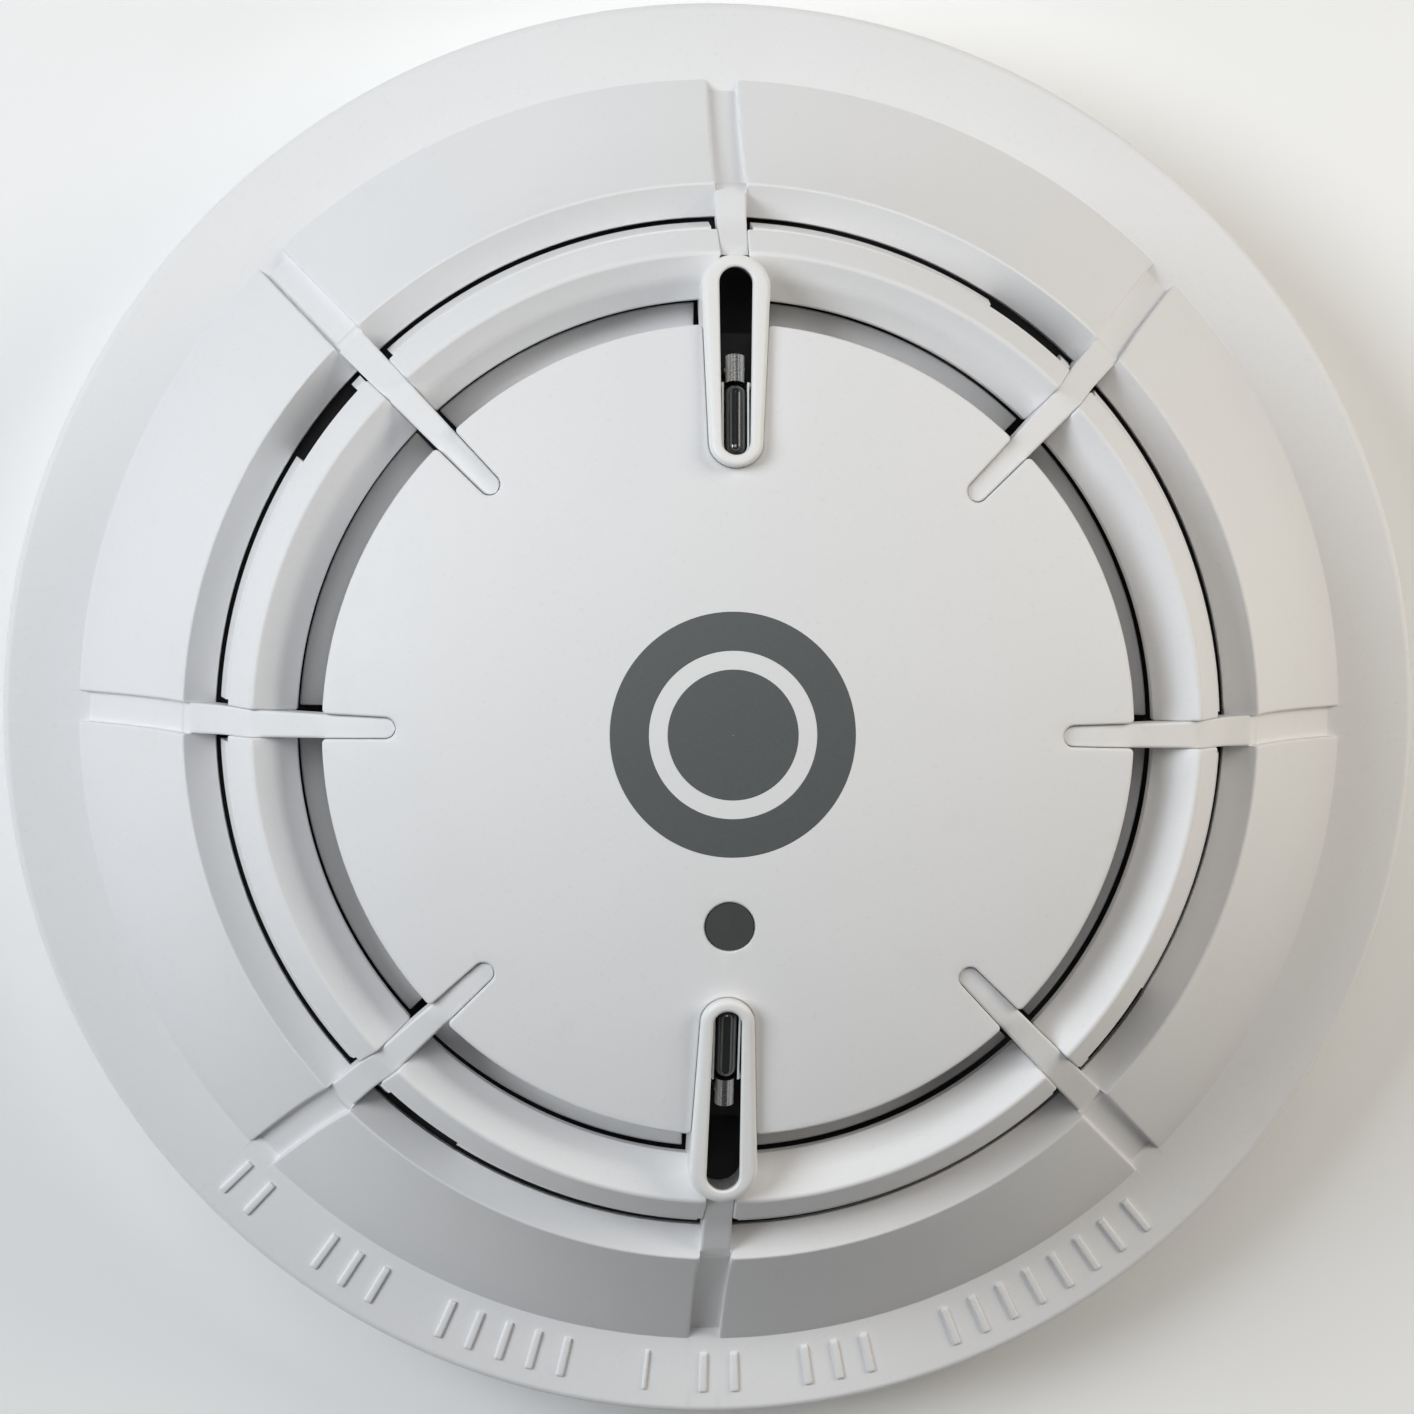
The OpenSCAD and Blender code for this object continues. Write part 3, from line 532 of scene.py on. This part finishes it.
def cap_slot(k):
    """One side of the cut-out for a rib or a guard, and its half width at the cap's edge.

    The side runs from the cap's edge in to the middle of the cut-out's round end.
    """
    gap = 0.04
    if k % RIBS in GUARD_RIBS:
        squash = math.cos(GUARD_TILT)
        r0 = GUARD_MID[0] + (GUARD_ENDS[0] - GUARD_LEN / 2) * squash
        r1 = GUARD_MID[0] + (GUARD_LEN / 2 - GUARD_ENDS[1]) * squash
        h0, h1 = GUARD_ENDS[0] + GUARD_CLEAR, GUARD_ENDS[1] + GUARD_CLEAR
        width = lerp(h0, h1, (CAP_R - r0) / (r1 - r0))
    else:
        r0, h0, squash = TIP_R + TIP_HALF, TIP_HALF + gap, 1
        width = rib_half(CAP_R) + gap
    side = [(math.sqrt(CAP_R ** 2 - width ** 2), -width, 0.3)]
    for i in range(11):
        t = math.pi / 2 * i / 10
        side.append((r0 - h0 * squash * math.sin(t), -h0 * math.cos(t), 0))
    return side, width


def cap_outline():
    corners = []
    for k in range(RIBS):
        a = k * STEP
        side, width = cap_slot(k)
        for x, y, soft in side + [(x, -y, soft) for x, y, soft in reversed(side[:-1])]:
            corners.append((*turned(x, y, a), soft))
        start = a + math.asin(width / CAP_R)
        end = a + STEP - math.asin(cap_slot(k + 1)[1] / CAP_R)
        for i in range(1, 24):
            t = lerp(start, end, i / 24)
            corners.append((CAP_R * math.cos(t), CAP_R * math.sin(t), 0))
    return rounded(corners, steps=5, closed=True)


def clockwise_circle(radius, at, sides=48):
    return [(at[0] + radius * math.cos(-2 * math.pi * i / sides),
             at[1] + radius * math.sin(-2 * math.pi * i / sides)) for i in range(sides)]


def cap(material):
    shape = Shape()
    fill = [(0.0, 0.0)]
    r = FILL_STEP
    while r < CAP_R:
        count = max(8, int(2 * math.pi * r / FILL_STEP))
        fill += [turned(r, 0, 2 * math.pi * i / count) for i in range(count)]
        r += FILL_STEP
    lens_hole = clockwise_circle(LENS_R + 0.04, (0, -LENS_AT))
    plate(shape, cap_outline(), [lens_hole], lambda x, y: dome_z(math.hypot(x, y)), CAP_T, CAP_EDGE, fill)
    skirt = rounded([(26.4, 35.2, 0), (26.4, 28.7, 0.1), (*CAP_LEDGE, 0.15), (CAP_LEDGE[0], 27.7, 0.15),
                     (25.3, 27.7, 0.2), (25.3, 34.6, 0)], closed=True)
    for k in range(RIBS):
        gaps = [GUARD_GAP if n % RIBS in GUARD_RIBS else CAP_END for n in (k, k + 1)]
        soft_arc(shape, skirt, k, gaps[0], k + 1, gaps[1], 40, 0.1)
    for k in range(4):
        angle = math.radians(45 + 90 * k)
        disc_solid(shape, PEG_R, PEG_LOW, PEG_TOP, turned(PEG_AT, 0, angle), 24)
    shape.piece("cap", material, "centre_cap")


# ---------------------------------------------------------------- sensor guards

def strip_loop(x0, r0, x1, r1, sides=28):
    """A strip with round ends, as one loop in the guard's own plane."""
    loop = []
    for x, radius, start in ((x0, r0, math.pi / 2), (x1, r1, -math.pi / 2)):
        for i in range(sides + 1):
            a = start + math.pi * i / sides
            loop.append((x + radius * math.cos(a), radius * math.sin(a)))
    return loop


def guard_loop(shrink):
    half = GUARD_LEN / 2
    return strip_loop(-half + GUARD_ENDS[0], GUARD_ENDS[0] - shrink,
                      half - GUARD_ENDS[1], GUARD_ENDS[1] - shrink)


def slot_loop(grow):
    half = GUARD_LEN / 2 - SLOT_END
    return strip_loop(-half + SLOT_HALF[0], SLOT_HALF[0] + grow,
                      half - SLOT_HALF[1], SLOT_HALF[1] + grow)


def guard_place(rib_index):
    """Turns a guard's along, across and up into a point. Up is straight up, so its walls stand upright."""
    c, s = math.cos(GUARD_TILT), math.sin(GUARD_TILT)

    def place(u, v, w):
        return (*turned(GUARD_MID[0] + u * c, v, rib_index * STEP), GUARD_MID[1] - u * s + w)

    return place


def guard(number, rib_index, material):
    """A guard: its outer wall, its rounded top and its slot, which opens out below a thin lip."""
    shape = Shape()
    place = guard_place(rib_index)
    soft, inner_soft, steps = 0.5, 0.22, 6
    loops = [(guard_loop(0), -GUARD_DEEP), (guard_loop(0), -2.5)]
    for i in range(steps + 1):
        a = math.pi / 2 * i / steps
        loops.append((guard_loop(soft * (1 - math.cos(a))), -soft * (1 - math.sin(a))))
    for i in range(steps + 1):
        a = math.pi / 2 * i / steps
        loops.append((slot_loop(inner_soft * (1 - math.sin(a))), -inner_soft * (1 - math.cos(a))))
    loops += [(slot_loop(0), -SLOT_LIP), (slot_loop(0.35), -SLOT_LIP - 0.3), (slot_loop(0.4), -GUARD_DEEP)]
    rows = [[place(u, v, w) for u, v in loop] for loop, w in loops]
    shape.grid(rows, close_rows=True, close_cols=True)
    shape.piece(f"guard_{number}", material, f"sensor_guard_{number}")


# ---------------------------------------------------------------- badge

def turned_solid(shape, section, sides):
    rows = [[spin(p, 2 * math.pi * i / sides) for p in section] for i in range(sides)]
    shape.grid(rows, close_rows=True, close_cols=True)


def badge(material):
    shape = Shape()
    low, proud, soft = 0.2, 0.03, 0.03
    for inner, outer in ((0.02, BADGE_GAP[0]), (BADGE_GAP[1], BADGE_R)):
        section = [(inner, dome_z(inner) - low), (inner, dome_z(inner) + proud - soft)]
        for i in range(9):
            r = lerp(inner + soft, outer - soft, i / 8)
            section.append((r, dome_z(r) + proud))
        section += [(outer, dome_z(outer) + proud - soft), (outer, dome_z(outer) - low)]
        turned_solid(shape, section, 120)
    shape.piece("badge_disc", material, "badge")


# ---------------------------------------------------------------- materials

class Look:
    """A node material that is built up step by step. Sizes are in millimetres."""

    def __init__(self, name):
        self.material = bpy.data.materials.new(name)
        self.material.use_nodes = True
        self.tree = self.material.node_tree
        self.shader = self.tree.nodes["Principled BSDF"]
        self.place = self.tree.nodes.new("ShaderNodeTexCoord").outputs["Object"]
        self.normal = None

    def node(self, kind, **inputs):
        n = self.tree.nodes.new(kind)
        for key, value in inputs.items():
            n.inputs[key.replace("_", " ")].default_value = value
        return n

    def link(self, a, b):
        self.tree.links.new(a, b)

    def set(self, **values):
        for key, value in values.items():
            self.shader.inputs[key.replace("_", " ")].default_value = value
        return self

    def stretched(self, scale):
        mapping = self.node("ShaderNodeMapping", Scale=scale)
        self.link(self.place, mapping.inputs["Vector"])
        return mapping.outputs["Vector"]

    def noise(self, size, detail=3.0, rough=0.55, vector=None, distortion=0.0):
        n = self.node("ShaderNodeTexNoise", Scale=1 / (size * MM), Detail=detail, Roughness=rough,
                      Distortion=distortion)
        self.link(vector or self.place, n.inputs["Vector"])
        return n.outputs["Fac"]

    def ramp(self, fac, stops):
        r = self.tree.nodes.new("ShaderNodeValToRGB")
        while len(r.color_ramp.elements) < len(stops):
            r.color_ramp.elements.new(0.5)
        for e, (at, colour) in zip(r.color_ramp.elements, stops):
            e.position = at
            e.color = (*colour, 1)
        self.link(fac, r.inputs["Fac"])
        return r.outputs["Color"]

    def mix(self, fac, a, b, blend="MIX"):
        m = self.tree.nodes.new("ShaderNodeMix")
        m.data_type = "RGBA"
        m.blend_type = blend
        for socket, value in ((m.inputs[0], fac), (m.inputs[6], a), (m.inputs[7], b)):
            if isinstance(value, (int, float)):
                socket.default_value = value
            elif isinstance(value, tuple):
                socket.default_value = (*value, 1)
            else:
                self.link(value, socket)
        return m.outputs[2]

    def base(self, colour):
        self.link(colour, self.shader.inputs["Base Color"])
        return self

    def rough(self, fac, low, high):
        m = self.node("ShaderNodeMapRange", To_Min=low, To_Max=high)
        self.link(fac, m.inputs["Value"])
        self.link(m.outputs["Result"], self.shader.inputs["Roughness"])
        return self

    def bump(self, fac, depth, strength=1.0):
        b = self.node("ShaderNodeBump", Strength=strength, Distance=depth * MM)
        self.link(fac, b.inputs["Height"])
        if self.normal:
            self.link(self.normal, b.inputs["Normal"])
        self.normal = b.outputs["Normal"]
        self.link(self.normal, self.shader.inputs["Normal"])
        return self


def moulded(name, light, dark, rough, grain=0.16, depth=0.006):
    """Moulded plastic: a fine even grain, very slow changes of tone, and faint dust in a few places."""
    look = Look(name)
    tone = look.ramp(look.noise(16, 2.0), [(0.35, dark), (0.65, light)])
    fleck = look.ramp(look.noise(0.35, 4.0, 0.7), [(0.28, (0.95, 0.945, 0.935)), (0.42, (1, 1, 1))])
    smudge = look.ramp(look.noise(5.0, 5.0, 0.62, distortion=0.6),
                       [(0.62, (1, 1, 1)), (0.78, (0.97, 0.967, 0.957))])
    tone = look.mix(1.0, tone, fleck, "MULTIPLY")
    look.base(look.mix(1.0, tone, smudge, "MULTIPLY"))
    look.rough(look.noise(1.6, 4.0), rough - 0.07, rough + 0.09)
    look.bump(look.noise(grain, 2.0, 0.6), depth)
    look.bump(look.noise(6.0, 1.0, 0.4), 0.03, 0.35)
    return look.material


def metal(name, light, dark, rough):
    """Plated or plain metal with fine lines across Z and slight stains."""
    look = Look(name).set(Metallic=1.0)
    grain = look.noise(1.0, 4.0, 0.6, look.stretched((1, 1, 22.5)))
    stain = look.noise(0.9, 4.0, 0.6)
    look.base(look.mix(stain, light, dark))
    look.rough(grain, rough - 0.1, rough + 0.14)
    look.bump(grain, 0.004)
    return look.material


def printed_board():
    """Green solder resist over tracks."""
    look = Look("board_green")
    tracks = look.node("ShaderNodeTexVoronoi", Scale=1 / (2.2 * MM))
    tracks.feature = "DISTANCE_TO_EDGE"
    look.link(look.place, tracks.inputs["Vector"])
    line = look.ramp(tracks.outputs["Distance"],
                     [(0.02, (0.03, 0.20, 0.09)), (0.06, (0.012, 0.10, 0.04))])
    look.base(look.mix(look.noise(0.5, 3.0), line, (0.010, 0.075, 0.032)))
    look.rough(look.noise(0.8), 0.28, 0.42)
    look.bump(tracks.outputs["Distance"], 0.02, 0.3)
    return look.material


def badge_look():
    """Satin dark grey print."""
    look = Look("badge_print")
    tone = look.ramp(look.noise(0.22, 3.0, 0.7),
                     [(0.3, (0.088, 0.096, 0.098)), (0.7, (0.108, 0.117, 0.118))])
    look.base(look.mix(look.noise(3.0, 3.0), tone, (0.100, 0.107, 0.109)))
    look.rough(look.noise(0.8, 4.0), 0.42, 0.58)
    look.bump(look.noise(0.18, 2.0), 0.004)
    return look.material


def gloss(name, light, dark, rough, coat=1.0, see_through=0.0, ior=1.5):
    """Glossy or clear plastic and glass."""
    look = Look(name)
    look.set(Coat_Weight=coat, Coat_Roughness=0.06, Transmission_Weight=see_through, IOR=ior)
    look.base(look.mix(look.noise(1.2, 4.0), light, dark))
    look.rough(look.noise(0.7, 4.0), rough, rough + 0.08)
    look.bump(look.noise(0.8, 2.0), 0.006, 0.5)
    return look.material


LOOKS = {
    "cover_plastic": moulded("cover_white", (0.815, 0.813, 0.820), (0.803, 0.801, 0.808), 0.50),
    "guard_plastic": moulded("guard_white", (0.87, 0.87, 0.86), (0.85, 0.85, 0.84), 0.40, 0.22, 0.003),
    "base_plastic": moulded("base_white", (0.79, 0.79, 0.77), (0.77, 0.77, 0.75), 0.52),
    "badge_grey": badge_look(),
    "window_grey": gloss("window_smoked", (0.075, 0.079, 0.079), (0.062, 0.066, 0.066), 0.30, 0.35),
    "terminal_steel": metal("steel_plated", (0.66, 0.66, 0.65), (0.52, 0.52, 0.50), 0.34),
    "screw_steel": metal("steel_yellow_plated", (0.70, 0.66, 0.55), (0.58, 0.53, 0.42), 0.32),
    "contact_brass": metal("brass_plain", (0.78, 0.60, 0.30), (0.66, 0.48, 0.22), 0.28),
    "board_laminate": printed_board(),
    "component_black": moulded("black_moulded", (0.018, 0.018, 0.019), (0.012, 0.012, 0.013), 0.55),
    "capacitor_can": metal("can_aluminium", (0.62, 0.63, 0.65), (0.50, 0.51, 0.53), 0.30),
    "reed_glass": gloss("glass_green", (0.70, 0.80, 0.75), (0.66, 0.76, 0.70), 0.05, 0.3, 0.8),
    "chip_ceramic": moulded("ceramic_brown", (0.34, 0.26, 0.18), (0.28, 0.21, 0.14), 0.5),
    "led_body": gloss("led_clear", (0.85, 0.80, 0.78), (0.80, 0.75, 0.73), 0.1, 0.5, 0.4),
    "clear_acrylic": gloss("acrylic_clear", (0.90, 0.93, 0.94), (0.86, 0.90, 0.91), 0.06, 0.3, 0.85, 1.49),
    "switch_blue": gloss("switch_blue", (0.030, 0.070, 0.20), (0.024, 0.055, 0.16), 0.35, 0.3),
    "rotor_cream": moulded("rotor_cream", (0.80, 0.76, 0.66), (0.76, 0.72, 0.62), 0.45),
    "lead_tin": metal("tin_bright", (0.74, 0.74, 0.73), (0.56, 0.56, 0.55), 0.24),
    "bead_epoxy": gloss("bead_black", (0.024, 0.025, 0.026), (0.016, 0.017, 0.018), 0.05, 1.0, 0.0, 1.9),
    "cradle_plastic": gloss("cradle_pale", (0.88, 0.89, 0.89), (0.82, 0.83, 0.83), 0.16, 0.4),
}


# ---------------------------------------------------------------- the object

for entry in frame["record"]["subparts"]:
    node = NODES[entry["node"]]
    node.data.materials.clear()
    node.data.materials.append(LOOKS[entry["material_slot"]])

cover(LOOKS["cover_plastic"])
cap(LOOKS["cover_plastic"])
guard(1, GUARD_RIBS[0], LOOKS["guard_plastic"])
guard(2, GUARD_RIBS[1], LOOKS["guard_plastic"])
badge(LOOKS["badge_grey"])


# ---------------------------------------------------------------- floor, light and camera

def set_floor():
    look = Look("floor_pale")
    look.base(look.ramp(look.noise(60, 3.0), [(0.4, (0.93, 0.93, 0.93)), (0.6, (0.95, 0.95, 0.95))]))
    look.set(Roughness=0.9)
    half, level = 2.0, -0.0002
    mesh = bpy.data.meshes.new("floor")
    mesh.from_pydata([(-half, -half, level), (half, -half, level), (half, half, level), (-half, half, level)],
                     [], [(0, 1, 2, 3)])
    mesh.materials.append(look.material)
    floor = bpy.data.objects.new("floor", mesh)
    bpy.context.collection.objects.link(floor)


def area_light(name, azimuth, elevation, distance, size, power, colour):
    a, e = math.radians(azimuth), math.radians(elevation)
    away = Vector((math.cos(a) * math.cos(e), math.sin(a) * math.cos(e), math.sin(e)))
    data = bpy.data.lights.new(name, "AREA")
    data.shape = "DISK"
    data.size = size
    data.energy = power
    data.color = colour
    lamp = bpy.data.objects.new(name, data)
    bpy.context.collection.objects.link(lamp)
    lamp.location = away * distance + Vector((0, 0, 0.02))
    lamp.rotation_euler = (-away).to_track_quat("-Z", "Y").to_euler()


def set_light():
    world = bpy.data.worlds.new("studio")
    bpy.context.scene.world = world
    world.use_nodes = True
    background = world.node_tree.nodes["Background"]
    background.inputs["Color"].default_value = (0.97, 0.98, 1.0, 1)
    background.inputs["Strength"].default_value = 0.06
    area_light("key", 163, 42, 0.7, 0.42, 3.5, (0.92, 0.965, 1.0))
    area_light("side", 26, 32, 0.7, 0.4, 1.95, (1.0, 0.955, 0.88))
    area_light("front", 104, 70, 0.9, 0.5, 1.15, (1.0, 0.99, 0.98))
    area_light("warm", 4, 20, 0.15, 0.08, 0.02, (1.0, 0.84, 0.58))
    bpy.context.scene.view_settings.view_transform = "Standard"


def set_camera():
    eye = Vector((-13.9, 14.5, 310.5)) * MM
    aim = Vector((-0.38, 0.40, 10.5)) * MM
    roll = math.radians(0.82)
    forward = (aim - eye).normalized()
    up = Vector((-math.sin(roll), math.cos(roll), 0.0))
    right = forward.cross(up).normalized()
    up = right.cross(forward)
    data = bpy.data.cameras.new("camera")
    data.sensor_width = 36
    data.lens = 107.9
    data.clip_start = 0.01
    data.clip_end = 20
    cam = bpy.data.objects.new("camera", data)
    bpy.context.collection.objects.link(cam)
    cam.matrix_world = Matrix((right, up, -forward)).transposed().to_4x4()
    cam.location = eye
    bpy.context.scene.camera = cam


set_floor()
set_light()
set_camera()
